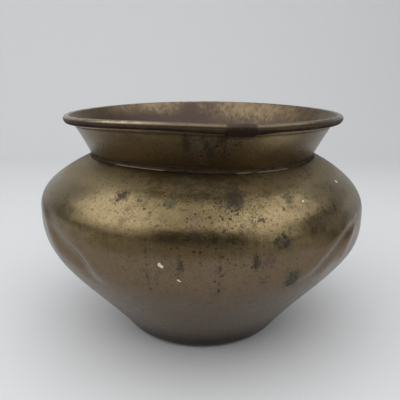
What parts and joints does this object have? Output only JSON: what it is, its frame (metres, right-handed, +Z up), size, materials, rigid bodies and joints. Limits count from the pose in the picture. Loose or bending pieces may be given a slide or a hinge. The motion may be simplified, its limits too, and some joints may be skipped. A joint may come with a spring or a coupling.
{
  "type": "wide-mouthed brass cooking pot",
  "caption": "Squat round brass pot with a flared neck and a rolled, wire-filled rim, for cooking, holding or carrying water and food.",
  "frame": {"origin": "middle of the flat underside that the pot stands on", "axes": "+Z up through the mouth, -Y to the front of the picture, +X to its right; the collar's seam is 7.5 degrees right of the front"},
  "size_m": [0.2788, 0.2788, 0.1938],
  "materials": {
    "brass": "hand-beaten, aged and unevenly tarnished, with dull polish on the shoulder",
    "iron_wire": "dark drawn iron, lightly rusted",
    "spelter": "rough cast fillet"
  },
  "bodies": {
    "root": {"lower_bowl": "brass", "shoulder": "brass", "neck_collar": "brass", "rim_wire": "iron_wire", "belly_braze": "spelter", "neck_braze": "spelter", "seam_braze": "spelter"}
  },
  "joints": []
}
